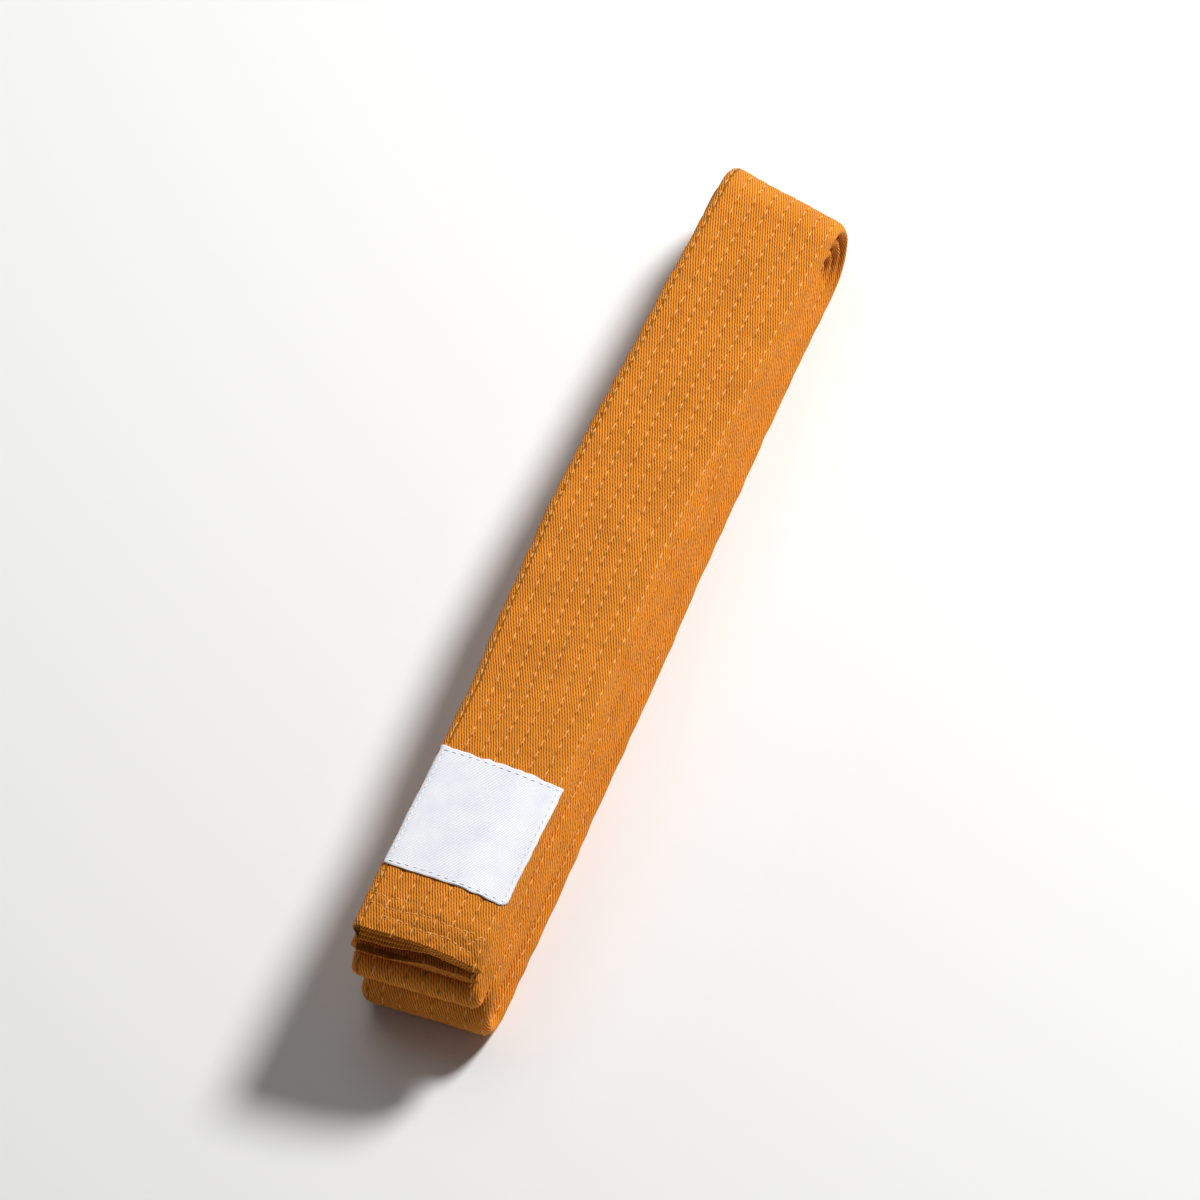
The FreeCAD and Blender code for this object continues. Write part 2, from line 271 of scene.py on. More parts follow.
def ripple(along, across, seed, shortest, longest, waves=14):
    """Smooth unevenness, about -1 to 1: a sum of fixed random waves between two lengths."""
    random = np.random.default_rng(seed)
    total = np.zeros(np.broadcast(along, across).shape)
    for _ in range(waves):
        length = random.uniform(shortest, longest)
        turn = random.uniform(0, math.pi)
        phase = random.uniform(0, 2 * math.pi)
        slope = 2 * math.pi / length
        total = total + np.sin(slope * (along * math.cos(turn) + across * math.sin(turn)) + phase)
    return total / math.sqrt(waves)


def row_line(row, along):
    """Where a row of stitching runs across the belt; hand-guided, it wanders a little."""
    return row_places[row] + 0.25 * np.sin(along / 37 + row * 1.7) + 0.1 * np.sin(along / 11 + row)


def stitch_place(row, along):
    """Place within a row in stitches: whole at each stitch's middle, half at each needle hole."""
    return along / (LONG_STITCH if row in LONG_ROWS else STITCH) + 0.37 * row


def sewing(along, across):
    """How near the surface is to a row of stitching and to a needle hole, 0 to 1 each."""
    channel = 0
    needle = 0
    for row in range(ROWS):
        pitch = LONG_STITCH if row in LONG_ROWS else STITCH
        off_row = across - row_line(row, along)
        place = stitch_place(row, along)
        off_hole = (np.abs(place - np.round(place)) - 0.5) * pitch
        channel = channel + np.exp(-((off_row / CHANNEL_WIDTH) ** 2))
        needle = needle + np.exp(-((off_row / NEEDLE_WIDTH) ** 2) - (off_hole / (1.4 * NEEDLE_WIDTH)) ** 2)
    return channel, needle


# Rows across each end that hold the turned-in hem, on the labelled face of end A: mm from
# the cut end, from and to mm left of the middle, and how far the row slants.
HEM_ROWS = [
    (4.6, 12.0, -17.0, 1.2),
    (7.6, 17.5, -15.0, -1.6),
    (11.4, 17.5, 4.0, 1.5),
    (4.8, -13.5, -17.2, -55.0),
]


def hem_line(row, across):
    """How far from the cut end a hem's row runs, at a place across the belt."""
    offset, left, _, slant = row
    return offset + slant * (across - left) / 40 + 0.35 * np.sin(across / 2.6 + offset)


def hem_shape(along, across, face):
    """The hems: end A is drawn in along its rows and bent down at its right; end B is a thin leaf."""
    drawn = 0
    for row in HEM_ROWS:
        inside = np.clip((row[1] - across) / 1.5, 0, 1) * np.clip((across - row[2]) / 1.5, 0, 1)
        drawn = drawn + inside * np.exp(-(((along - hem_line(row, across)) / 0.8) ** 2))
    to_right = np.clip((-across + 2) / 18, 0, 1)
    bent = to_right * np.clip(1 - along / 12, 0, 1) ** 2
    rumple = 0.16 * ripple(along, across, 31, 3, 9) * np.clip(1 - along / 22, 0, 1)
    to_end = np.clip(1 - (belt_length - along) / 12, 0, 1)
    leaf = to_end**2 * (0.3 + 1.0 * to_right)
    if face > 0:
        return rumple - 0.22 * drawn - 1.7 * bent
    return 1.1 * bent - leaf


def half_thickness(along):
    """The belt is pressed flat at the far folds and a little puffed towards the near end."""
    x = np.interp(along, belt_along, middle[:, 0])
    loose = np.clip((fold_axis[0] - x) / (2 * fold_axis[0]), 0, 1)
    inner = (along > leg_start["layer_6"]) & (along < leg_start["far_7_2"])
    return thickness / 2 + np.where(inner, 0.3, 0.5) * NEAR_PUFF * loose


def surface_height(along, across, face):
    """Height of a face over the belt's middle: face 1 is the labelled one, -1 the other."""
    full = half_thickness(along) + CLOTH_NAP
    seed = 11 if face > 0 else 12
    channel, needle = sewing(along, across)
    uneven = 0.05 * ripple(along, across, seed, 2.5, 6) + 0.1 * ripple(along, across, seed + 2, 14, 40)
    height_over = full - CHANNEL_DEPTH * channel - NEEDLE_DEPTH * needle + uneven
    return height_over + hem_shape(along, across, face)


def lay(along, across, level):
    """Points in the row frame, in metres, for places on the belt and heights over its middle."""
    along, across, level = np.broadcast_arrays(along, across, level)
    x = np.interp(along, belt_along, middle[:, 0])
    z = np.interp(along, belt_along, middle[:, 1])
    normal_x = np.interp(along, belt_along, facing[:, 0])
    normal_z = np.interp(along, belt_along, facing[:, 1])
    length = np.hypot(normal_x, normal_z)
    x = x + level * normal_x / length
    z = z + level * normal_z / length
    # The layers don't lie quite true: each drifts sideways, and both ends are skewed.
    y = across + np.interp(along, drift_at, drift_by) + 0.15 * np.sin(along / 13)
    toward_far = np.clip((x - FAR_SKEW_FROM) / FAR_SKEW_RUN, 0, 1)
    toward_near = np.clip((NEAR_SKEW_FROM - x) / NEAR_SKEW_RUN, 0, 1)
    x = x + y * (FAR_SKEW * toward_far**2 - NEAR_SKEW * toward_near**2)
    # The top layer's right side hangs down onto the layer below, which lies lower than it.
    toward_end = np.clip((fold_axis[0] - x) / (2 * fold_axis[0]), 0, 1) * (along < leg_start["far_1_8"])
    z = z - RIGHT_HANG * toward_end * ease(np.clip((-across - 3) / 17, 0, 1))
    z = np.maximum(z, TABLE_CLEAR)
    return np.stack([x, y, z], -1) * MM


def mesh_object(name, points, faces, uvs):
    """A smooth object with its faces outwards, and each point's place on the cloth as its UV."""
    mesh = bpy.data.meshes.new(name)
    mesh.from_pydata(points.tolist(), [], faces)
    layer = mesh.uv_layers.new(name="cloth")
    corners = np.zeros(len(mesh.loops), dtype=int)
    mesh.loops.foreach_get("vertex_index", corners)
    layer.data.foreach_set("uv", uvs[corners].astype(np.float32).ravel())
    work = bmesh.new()
    work.from_mesh(mesh)
    bmesh.ops.recalc_face_normals(work, faces=work.faces)
    work.to_mesh(mesh)
    work.free()
    mesh.shade_smooth()
    item = bpy.data.objects.new(name, mesh)
    bpy.context.scene.collection.objects.link(item)
    return item


def cross_section(spacing):
    """The strip's outline as (across, face, edge turn), once round from the left edge."""
    flat = belt_width / 2 - EDGE_ROUND
    count = round(2 * flat / spacing)
    top = [(y, 1, 0) for y in np.linspace(flat, -flat, count)]
    turns = np.linspace(0, math.pi, EDGE_POINTS + 2)[1:-1]
    right = [(-flat, 0, turn) for turn in turns]
    bottom = [(y, -1, 0) for y in np.linspace(-flat, flat, count)]
    left = [(flat, 0, turn) for turn in turns[::-1]]
    return top + right + bottom + left, count


def ply_reach(across, share):
    """How far the three turned-in plies stand out at a hem's end; they close at the right."""
    open_left = min(1, max(0, (across + 4) / 12))
    between = (1 - abs(math.sin(3 * math.pi * share))) ** 2
    stagger = 2.4 * share * open_left
    return 0.3 + stagger - (0.5 + 2.4 * open_left) * between


def cloth(name, start, end, spacing, hem_at=None):
    """A closed stretch of the belt between two distances along it, hemmed at hem_at if given."""
    outline, count = cross_section(spacing)
    stations = belt_along[(belt_along > start + 0.05) & (belt_along < end - 0.05)]
    stations = np.concatenate([[start], stations, [end]])
    rings = []
    ring_uvs = []
    girth = 0
    girths = []
    before = None
    for across, face, turn in outline:
        side = math.copysign(1, across)
        flat_y = across + side * EDGE_ROUND * math.sin(turn)
        flat_h = thickness / 2 * (math.cos(turn) if face == 0 else face)
        if before is not None:
            girth += math.hypot(flat_y - before[0], flat_h - before[1])
        girths.append(girth)
        before = (flat_y, flat_h)
    for (across, face, turn), v in zip(outline, girths):
        if face:
            level = face * surface_height(stations, across, face)
            place = np.full_like(stations, across)
        else:
            side = math.copysign(1, across)
            top = surface_height(stations, across, 1)
            low = surface_height(stations, across, -1)
            half = (top + low) / 2
            level = (top - low) / 2 + half * math.cos(turn)
            bead = EDGE_ROUND * (1 + 0.04 * ripple(stations, v, 5, 4, 18))
            place = across + side * bead * math.sin(turn)
        rings.append(lay(stations, place, level))
        ring_uvs.append(np.stack([stations, np.full_like(stations, v)], -1))
    points = np.stack(rings, 1)
    uvs = np.stack(ring_uvs, 1)
    length, around = points.shape[:2]
    index = np.arange(length * around).reshape(length, around)
    faces = []
    following = np.roll(index, -1, axis=1)
    quads = np.stack([index[:-1], following[:-1], following[1:], index[1:]], -1).reshape(-1, 4)
    faces += quads.tolist()
    # Each end is closed with a small grid between the two faces.
    extra_points = []
    extra_uvs = []
    size = length * around
    for ring in (0, length - 1):
        hem = hem_at is not None and abs(stations[ring] - hem_at) < 0.1
        top_columns = list(range(count))
        low_columns = list(range(count + EDGE_POINTS, 2 * count + EDGE_POINTS))[::-1]
        layers = PLY_STEPS if hem else 1
        grid = [[index[ring, column] for column in top_columns]]
        for layer in range(1, layers):
            share = layer / layers
            row = []
            for top_column, low_column in zip(top_columns, low_columns):
                top_point = points[ring, top_column]
                low_point = points[ring, low_column]
                point = top_point * (1 - share) + low_point * share
                row.append(size + len(extra_points))
                out = ply_reach(outline[top_column][0], share)
                extra_points.append(point - np.array([out, 0, 0]) * MM)
                extra_uvs.append(uvs[ring, top_column] + np.array([0, share * thickness]))
            grid.append(row)
        grid.append([index[ring, column] for column in low_columns])
        for upper, lower in zip(grid, grid[1:]):
            for column in range(count - 1):
                faces.append([upper[column], upper[column + 1], lower[column + 1], lower[column]])
        low_start = count + EDGE_POINTS
        left_start = low_start + count
        right = [index[ring, column] for column in range(count - 1, low_start + 1)]
        left = [index[ring, column] for column in range(left_start - 1, around)] + [index[ring, 0]]
        faces.append(right + [row[-1] for row in grid[1:-1]][::-1])
        faces.append(left + [row[0] for row in grid[1:-1]])
    points = points.reshape(-1, 3)
    uvs = uvs.reshape(-1, 2)
    if extra_points:
        points = np.concatenate([points, np.array(extra_points)])
        uvs = np.concatenate([uvs, np.array(extra_uvs)])
    item = mesh_object(name, points, faces, uvs)
    # The end faces meet the cloth at sharp edges, so that neighbouring stretches shade as one.
    edges = np.zeros(2 * len(item.data.edges), dtype=int)
    item.data.edges.foreach_get("vertices", edges)
    edges = edges.reshape(-1, 2)
    at_end = (edges < around).all(1) | ((edges >= size - around) & (edges < size)).all(1)
    item.data.attributes.new("sharp_edge", "BOOLEAN", "EDGE").data.foreach_set("value", at_end)
    # Painted shade: the cloth's colour is darkened along the rows of stitching, and most at the needle
    # holes.
    channel, needle = sewing(stations[:, None], np.array([across for across, _, _ in outline])[None, :])
    flat_part = np.array([abs(face) for _, face, _ in outline])[None, :]
    painted_stitch_shade = np.zeros(len(points), np.float32)
    painted_stitch_shade[:size] = np.clip(flat_part * (0.2 * channel + needle), 0, 1).ravel()
    item.data.attributes.new("painted_stitch_shade", "FLOAT", "POINT").data.foreach_set("value", painted_stitch_shade)
    item.data.materials.append(twill)
    return item


def linear(code):
    """An sRGB hex colour as linear red, green, blue, alpha."""
    values = [int(code[k : k + 2], 16) / 255 for k in (0, 2, 4)]
    return [v / 12.92 if v <= 0.04045 else ((v + 0.055) / 1.055) ** 2.4 for v in values] + [1.0]


def add(tree, kind, settings=None, **inputs):
    """Adds a node, with its settings, and sets or links its inputs by name or number."""
    item = tree.nodes.new(kind)
    for key, value in (settings or {}).items():
        setattr(item, key, value)
    for key, value in inputs.items():
        socket = item.inputs[int(key[1:])] if key[0] == "_" else item.inputs[key.replace("_", " ")]
        if isinstance(value, bpy.types.NodeSocket):
            tree.links.new(value, socket)
        else:
            socket.default_value = value
    return item


def new_material(name):
    """A new material, its node tree and its surface shader."""
    material = bpy.data.materials.new(name)
    material.use_nodes = True
    tree = material.node_tree
    surface = tree.nodes["Principled BSDF"]
    return material, tree, surface


# Dyed cotton twill: matte, with a fine diagonal rib of yarn floats that catches the light
# on one side, and a faint fuzz; its colour has painted shade between the ribs and a painted
# highlight on their crests. The real rib is about 0.6 mm apart; it is drawn a little coarser,
# so that it still shows.
RIB = 0.78
RIB_ANGLE = 23
WAVE_UNIT = 2 * math.pi / 20
twill, tree, surface = new_material("cotton_twill_orange")
cloth_uv = add(tree, "ShaderNodeUVMap", {"uv_map": "cloth"}).outputs[0]
wobble = add(tree, "ShaderNodeTexNoise", {"noise_dimensions": "2D"}, Vector=cloth_uv, Scale=0.35, Detail=2.0)
shift = add(
    tree,
    "ShaderNodeVectorMath",
    {"operation": "MULTIPLY_ADD"},
    _0=wobble.outputs["Color"],
    _1=(0.35, 0.35, 0),
    _2=cloth_uv,
)
turned_uv = add(
    tree,
    "ShaderNodeVectorRotate",
    {"rotation_type": "Z_AXIS"},
    _0=shift.outputs[0],
    Angle=math.radians(RIB_ANGLE),
)
along_rib = turned_uv.outputs[0]
ribs = add(
    tree,
    "ShaderNodeTexWave",
    {"wave_type": "BANDS", "bands_direction": "Y", "wave_profile": "SIN"},
    Vector=along_rib,
    Scale=WAVE_UNIT / RIB,
    Distortion=0.0,
)
floats = add(
    tree,
    "ShaderNodeTexWave",
    {"wave_type": "BANDS", "bands_direction": "DIAGONAL", "wave_profile": "SIN"},
    Vector=along_rib,
    Scale=WAVE_UNIT / (RIB * 0.9),
    Distortion=0.0,
)
yarn = add(
    tree,
    "ShaderNodeMath",
    {"operation": "MULTIPLY_ADD"},
    _0=floats.outputs["Fac"],
    _1=0.2,
    _2=ribs.outputs["Fac"],
)
# Uneven dye, in patches of a centimetre or so, and single fibres, finer than the ribs.
mottle = add(
    tree,
    "ShaderNodeTexNoise",
    {"noise_dimensions": "2D"},
    Vector=cloth_uv,
    Scale=0.09,
    Detail=4.0,
    Roughness=0.6,
)
fibre = add(
    tree,
    "ShaderNodeTexNoise",
    {"noise_dimensions": "2D"},
    Vector=cloth_uv,
    Scale=2.2,
    Detail=3.0,
    Roughness=0.7,
)
# Painted light and shade: the ramp darkens the cloth between the ribs and lightens it on their crests.
rib_light_and_shade = add(tree, "ShaderNodeValToRGB", Fac=yarn.outputs[0])
rib_light_and_shade.color_ramp.elements[0].position = 0.05
rib_light_and_shade.color_ramp.elements[0].color = linear("AC5508")
rib_light_and_shade.color_ramp.elements[1].position = 0.85
rib_light_and_shade.color_ramp.elements[1].color = linear("F39A33")
patch = add(
    tree,
    "ShaderNodeMapRange",
    Value=mottle.outputs["Fac"],
    From_Min=0.3,
    From_Max=0.7,
    To_Min=0.9,
    To_Max=1.06,
)
speck = add(
    tree,
    "ShaderNodeMapRange",
    Value=fibre.outputs["Fac"],
    From_Min=0.3,
    From_Max=0.7,
    To_Min=0.9,
    To_Max=1.1,
)
tone = add(tree, "ShaderNodeMath", {"operation": "MULTIPLY"}, _0=patch.outputs[0], _1=speck.outputs[0])
# Painted shade: the stitching attribute takes the cloth's colour down to half in the channels and at the
# needle holes.
stitch_shade_in = add(tree, "ShaderNodeAttribute", {"attribute_name": "painted_stitch_shade"}).outputs["Fac"]
shaded = add(tree, "ShaderNodeMapRange", Value=stitch_shade_in, From_Min=0.1, From_Max=1.0, To_Min=1.0, To_Max=0.5)
tone = add(tree, "ShaderNodeMath", {"operation": "MULTIPLY"}, _0=tone.outputs[0], _1=shaded.outputs[0])
cloth_colour = add(
    tree, "ShaderNodeVectorMath", {"operation": "SCALE"}, _0=rib_light_and_shade.outputs[0], Scale=tone.outputs[0]
)
tree.links.new(cloth_colour.outputs[0], surface.inputs["Base Color"])
surface.inputs["Roughness"].default_value = 0.85
surface.inputs["Specular IOR Level"].default_value = 0.15
surface.inputs["Sheen Weight"].default_value = 0.08
surface.inputs["Sheen Roughness"].default_value = 0.5
surface.inputs["Sheen Tint"].default_value = linear("FFC98A")
relief = add(
    tree,
    "ShaderNodeMath",
    {"operation": "MULTIPLY_ADD"},
    _0=fibre.outputs["Fac"],
    _1=0.35,
    _2=yarn.outputs[0],
)
bump = add(tree, "ShaderNodeBump", Height=relief.outputs[0], Distance=0.00022, Strength=0.9)
tree.links.new(bump.outputs[0], surface.inputs["Normal"])

# Spun polyester sewing thread: a two-ply twist with a slight lustre. Its colour is painted
# lighter than the cloth, a painted highlight so that it reads brighter than the twill round it.
TWIST = 0.3
thread, tree, surface = new_material("sewing_thread_orange")
place = add(tree, "ShaderNodeTexCoord").outputs["Object"]
twist = add(
    tree,
    "ShaderNodeTexWave",
    {"wave_type": "BANDS", "bands_direction": "DIAGONAL"},
    Vector=place,
    Scale=WAVE_UNIT / (TWIST * MM),
    Distortion=0.0,
)
# Painted light and shade: the colour goes lighter and darker in bands along the twist.
twist_light_and_shade = add(tree, "ShaderNodeMix", {"data_type": "RGBA"}, _0=twist.outputs["Fac"])
twist_light_and_shade.inputs[6].default_value = linear("E8963A")
twist_light_and_shade.inputs[7].default_value = linear("F9C47C")
tree.links.new(twist_light_and_shade.outputs[2], surface.inputs["Base Color"])
surface.inputs["Roughness"].default_value = 0.5
surface.inputs["Specular IOR Level"].default_value = 0.4
bump = add(tree, "ShaderNodeBump", Height=twist.outputs["Fac"], Distance=0.00006, Strength=0.6)
tree.links.new(bump.outputs[0], surface.inputs["Normal"])


def stitch_tree(name):
    """Geometry nodes that lay one bowed length of thread at each stitch's middle."""
    group = bpy.data.node_groups.new(name, "GeometryNodeTree")
    sockets = group.interface
    sockets.new_socket("Middles", in_out="INPUT", socket_type="NodeSocketGeometry")
    sockets.new_socket("Thread radius", in_out="INPUT", socket_type="NodeSocketFloat")
    sockets.new_socket("Thread", in_out="INPUT", socket_type="NodeSocketMaterial")
    sockets.new_socket("Stitches", in_out="OUTPUT", socket_type="NodeSocketGeometry")
    inputs = add(group, "NodeGroupInput").outputs
    along = add(group, "GeometryNodeInputNamedAttribute", {"data_type": "FLOAT_VECTOR"}, Name="along")
    above = add(group, "GeometryNodeInputNamedAttribute", {"data_type": "FLOAT_VECTOR"}, Name="above")
    reach = add(group, "GeometryNodeInputNamedAttribute", {"data_type": "FLOAT"}, Name="reach")
    # Each stitch points along its row and stands on the cloth, give or take a few degrees.
    aim = add(group, "FunctionNodeAlignRotationToVector", {"axis": "X"}, Vector=along.outputs[0])
    stand = add(
        group,
        "FunctionNodeAlignRotationToVector",
        {"axis": "Z", "pivot_axis": "X"},
        Rotation=aim.outputs[0],
        Vector=above.outputs[0],
    )
    yaw = add(
        group,
        "FunctionNodeRandomValue",
        {"data_type": "FLOAT_VECTOR"},
        _0=(-0.03, -0.05, -0.12),
        _1=(0.03, 0.05, 0.16),
        Seed=4,
    )
    turned = add(group, "FunctionNodeRotateRotation", {"rotation_space": "LOCAL"}, Rotation=stand.outputs[0])
    group.links.new(yaw.outputs[0], turned.inputs[1])
    # The thread dips into the cloth at both ends and bows up between them.
    drop = add(group, "ShaderNodeMath", {"operation": "MULTIPLY"}, _0=inputs["Thread radius"], _1=-2.0)
    crown = add(group, "ShaderNodeMath", {"operation": "MULTIPLY"}, _0=inputs["Thread radius"], _1=2.4)
    dipped = [add(group, "ShaderNodeCombineXYZ", X=x, Z=drop.outputs[0]) for x in (-MM / 2, MM / 2)]
    top = add(group, "ShaderNodeCombineXYZ", Z=crown.outputs[0])
    bow = add(
        group,
        "GeometryNodeCurveQuadraticBezier",
        Resolution=5,
        Start=dipped[0].outputs[0],
        Middle=top.outputs[0],
        End=dipped[1].outputs[0],
    )
    ring = add(group, "GeometryNodeCurvePrimitiveCircle", Resolution=6, Radius=inputs["Thread radius"])
    loop = add(
        group,
        "GeometryNodeCurveToMesh",
        Curve=bow.outputs[0],
        Profile_Curve=ring.outputs[0],
        Fill_Caps=True,
    )
    stretch_to = add(group, "ShaderNodeCombineXYZ", X=reach.outputs[0], Y=1.0, Z=1.0)
    spread = add(
        group,
        "GeometryNodeInstanceOnPoints",
        Points=inputs["Middles"],
        Instance=loop.outputs[0],
        Rotation=turned.outputs[0],
        Scale=stretch_to.outputs[0],
    )
    real = add(group, "GeometryNodeRealizeInstances", Geometry=spread.outputs[0])
    smooth = add(group, "GeometryNodeSetShadeSmooth", Geometry=real.outputs[0])
    dressed = add(group, "GeometryNodeSetMaterial", Geometry=smooth.outputs[0], Material=inputs["Thread"])
    add(group, "NodeGroupOutput", Stitches=dressed.outputs[0])
    return group


stitch_nodes = stitch_tree("lockstitch_rows")
THREAD_RADIUS = 0.2
# Of each stitch's pitch, the share that lies on the surface between its needle holes.
SEEN_SHARE = 0.64


def sew(name, stitches, material, radius=THREAD_RADIUS):
    """A plain mesh of stitches, from rows of (middles, ways along, ways above, mm reach)."""
    middles, along, above, reach = (np.concatenate(part) for part in zip(*stitches))
    mesh = bpy.data.meshes.new(name + "_middles")
    mesh.from_pydata(middles.tolist(), [], [])
    for key, way in (("along", along), ("above", above)):
        layer = mesh.attributes.new(key, "FLOAT_VECTOR", "POINT")
        layer.data.foreach_set("vector", way.astype(np.float32).ravel())
    mesh.attributes.new("reach", "FLOAT", "POINT").data.foreach_set("value", reach.astype(np.float32))
    rows = bpy.data.objects.new(name + "_middles", mesh)
    bpy.context.scene.collection.objects.link(rows)
    modifier = rows.modifiers.new("stitches", "NODES")
    modifier.node_group = stitch_nodes
    values = {"Thread radius": radius * MM, "Thread": material}
    for socket in stitch_nodes.interface.items_tree:
        if socket.name in values:
            modifier[socket.identifier] = values[socket.name]
    evaluated = rows.evaluated_get(bpy.context.evaluated_depsgraph_get())
    result = bpy.data.meshes.new_from_object(evaluated)
    result.name = name
    places = np.zeros(3 * len(result.vertices), np.float32)
    result.vertices.foreach_get("co", places)
    places[2::3] = np.maximum(places[2::3], TABLE_CLEAR * MM)
    result.vertices.foreach_set("co", places)
    item = bpy.data.objects.new(name, result)
    bpy.context.scene.collection.objects.link(item)
    bpy.data.objects.remove(rows)
    return item


def stitches_at(along, across, step_along, step_across, level_of, face, reach):
    """One row of stitches: each middle, the way to the next one, and the way off the cloth."""
    level = face * level_of(along, across)
    middles = lay(along, across, level)
    next_along = along + step_along
    next_across = across + step_across
    ahead = lay(next_along, next_across, face * level_of(next_along, next_across))
    above = lay(along, across, level + face)
    return middles, (ahead - middles) / MM, (above - middles) / MM, np.full(len(along), reach)


def row_stitches(start, end):
    """The eight rows on both faces of a stretch."""
    rows = []
    for row in range(ROWS):
        pitch = LONG_STITCH if row in LONG_ROWS else STITCH
        count = np.arange(math.ceil(stitch_place(row, start)), math.ceil(stitch_place(row, end)))
        along = (count - 0.37 * row) * pitch
        across = row_line(row, along)
        drift = row_line(row, along + 0.5) - across
        for face in (1, -1):
            level_of = partial(surface_height, face=face)
            rows.append(stitches_at(along, across, 0.5, drift, level_of, face, SEEN_SHARE * pitch))
    return rows


# ---------------------------------------------------------------------------------------
# The lower half of the stack: two stretches of belt, each folded once at the near end, the
# tight fold inside the wide one. They lie on the table and carry the rest.

# The lower half's stretches start and end this far, in mm, from the far folds.
FAR_CUT = 1.0


def dress(item, stitches, bodies, stems, blend):
    """Fixes a stretch and its thread to their body, or, given a blend, leaves them fixed in world place."""
    for piece in (item, stitches):
        if blend:
            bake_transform(piece)
        else:
            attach(piece, bodies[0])
    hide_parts(*[f"{stem}_{kind}" for stem in stems for kind in ("cover", "core")])
    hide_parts(*[f"{stem}_stitching" for stem in stems])


PLAIN_SPACING = 1.02
FINE_SPACING = 0.51


def stretch(name, start, end, bodies, stems, spacing=PLAIN_SPACING, hem_at=None, blend=None):
    """One stretch of belt, cloth and thread, between two distances along it."""
    item = cloth(name, start, end, spacing, hem_at)
    stitches = sew(name + "_stitches", row_stitches(start, end), thread)
    dress(item, stitches, bodies, stems, blend)


wide_start = leg_start["layer_8"] + FAR_CUT
wide_end = leg_start["far_5_4"] - FAR_CUT
stretch("belt_lower_wide", wide_start, wide_end, ["lower_half"], ["lower_wide"])
tight_start = leg_start["layer_6"] + FAR_CUT
tight_end = leg_start["far_7_2"] - FAR_CUT
stretch("belt_lower_tight", tight_start, tight_end, ["lower_half"], ["lower_tight"])

# ---------------------------------------------------------------------------------------
# The far folds and the upper half: the cloth that turns over at the far end, between the
# two halves, about the fold axis.

SEAM_RUN = 36
UNROLL_FROM = -6
UNROLL_TO = 30
diagonal = math.sqrt(0.5)


def from_axis(distance):
    """A point that distance from the fold axis, half up and half towards the near end."""
    step = distance * diagonal
    return ((fold_axis[0] - step) * MM, 0, (fold_axis[2] + step) * MM)


unroll = (from_axis(UNROLL_FROM), from_axis(UNROLL_TO))
halves = ["lower_half", "upper_half"]
seam_a = leg_start["far_1_8"] - SEAM_RUN
seam_b = leg_start["layer_2"] + SEAM_RUN
stretch(
    "belt_far_outer",
    seam_a,
    wide_start,
    halves,
    ["far_fold_outer", "end_a_root"],
    FINE_SPACING,
    blend=unroll,
)
stretch(
    "belt_middle",
    wide_end,
    tight_start,
    halves,
    ["far_fold_inner", "middle", "far_fold_third"],
    blend=unroll,
)
stretch(
    "belt_far_second",
    tight_end,
    seam_b,
    halves,
    ["far_fold_second", "end_b_root"],
    blend=unroll,
)

# ---------------------------------------------------------------------------------------
# The two free ends: end B lies on the upper half, and end A, the labelled one, on end B.
# The cut ends are hemmed: the twill is turned in and shows as thin plies.

BEND = 8
BRIDGE_RUN = 58


def bend_about(joint, layer):
    """Where the cloth starts and ends its bend: each side of the joint's line, along a layer."""
    x, _, z = hinges[joint]["pos_m"]
    toward_near = Vector((-math.cos(lift(layer)), 0, math.sin(lift(layer)))) * BEND * MM
    middle_point = Vector((x, 0, z))
    return tuple(middle_point - toward_near), tuple(middle_point + toward_near)


bridge_seam = leg_start["far_1_8"] - BRIDGE_RUN
bend_b = bend_about("end_b_lifts", 1)
bend_a = bend_about("end_a_lifts", 1)
stretch(
    "belt_end_a_bridge",
    bridge_seam,
    seam_a,
    ["upper_half", "end_b"],
    ["end_a_bridge"],
    FINE_SPACING,
    blend=bend_b,
)
stretch(
    "belt_end_b",
    seam_b,
    belt_length,
    ["upper_half", "end_b"],
    ["end_b"],
    hem_at=belt_length,
    blend=bend_b,
)
stretch(
    "belt_end_a",
    0,
    bridge_seam,
    ["end_b", "end_a"],
    ["end_a"],
    FINE_SPACING,
    hem_at=0,
    blend=bend_a,
)

# ---------------------------------------------------------------------------------------
# Hem stitching: rows across each end, sewn back and forth by hand guidance, so they wander
# and cross. They hold the turned-in twill.


HEM_STITCH = 1.7


def hem_stitches(end_along, toward, face):
    """The hem's rows on one face, counted from the cut end towards the middle of the belt."""
    rows = []
    for row in HEM_ROWS:
        steep = abs(row[3]) > 10
        across = np.arange(row[1] - 0.6, row[2], -0.8 if steep else -2.2)
        along = end_along + toward * hem_line(row, across)
        further = end_along + toward * hem_line(row, across - 0.2)
        level_of = partial(surface_height, face=face)
        rows.append(stitches_at(along, across, further - along, -0.2, level_of, face, HEM_STITCH))
    return rows


hem_a = sew("hem_a_stitches", hem_stitches(0, 1, 1), thread)
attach(hem_a, "end_a")
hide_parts("end_a_hem_stitching")
hem_b = sew("hem_b_stitches", hem_stitches(belt_length, -1, -1), thread)
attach(hem_b, "end_b")
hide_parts("end_b_hem_stitching")

# ---------------------------------------------------------------------------------------
# The label: a woven polyester satin label, blank, sewn on the labelled face near end A with
# white thread. It bridges the channels of the quilting, and its cut edges are uneven.

label_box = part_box("label")
label_near = (label_box[0][0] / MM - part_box("end_a_cover")[0][0] / MM) / math.cos(lift(1))
label_length = (label_box[1][0] - label_box[0][0]) / MM / math.cos(lift(1))
label_width = (label_box[1][1] - label_box[0][1]) / MM
LABEL_THICKNESS = 0.45

